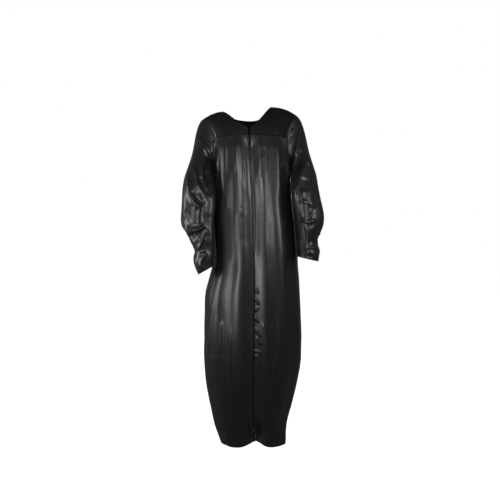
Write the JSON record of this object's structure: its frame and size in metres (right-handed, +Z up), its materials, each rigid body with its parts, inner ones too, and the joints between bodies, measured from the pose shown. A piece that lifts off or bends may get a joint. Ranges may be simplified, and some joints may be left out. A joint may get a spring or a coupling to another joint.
{
  "type": "graduation gown",
  "caption": "Long satin graduation gown, worn and hollow, with a V neck, plain yokes, gathered fronts and back, full slumped sleeves and a front zip.",
  "frame": {"origin": "between the shoulders, level with the neck points, where the wearer's shoulders carry the gown", "axes": "+X towards the viewer's right as the front is seen, the front faces -Y, +Z up towards the shoulders"},
  "size_m": [0.5729, 0.3421, 1.4186],
  "materials": {
    "satin": "black polyester satin",
    "tape": "black woven zip tape",
    "slider": "black painted die-cast zinc"
  },
  "bodies": {
    "gown": {"yoke_front_left": "satin", "yoke_front_right": "satin", "yoke_back": "satin", "front_left": "satin", "front_right": "satin", "back": "satin", "sleeve_left": "satin", "sleeve_right": "satin", "zip_tape_left": "tape", "zip_tape_right": "tape", "zip_slider": "slider"},
    "pull_tab": {"zip_pull_tab": "slider"}
  },
  "joints": [
    {"name": "pull_tab_hinge", "type": "hinge", "parent": "gown", "child": "pull_tab", "pos_m": [-0.0013, -0.1102, -0.2079], "axis": [-1, 0, 0], "range_deg": [0, 120]}
  ]
}
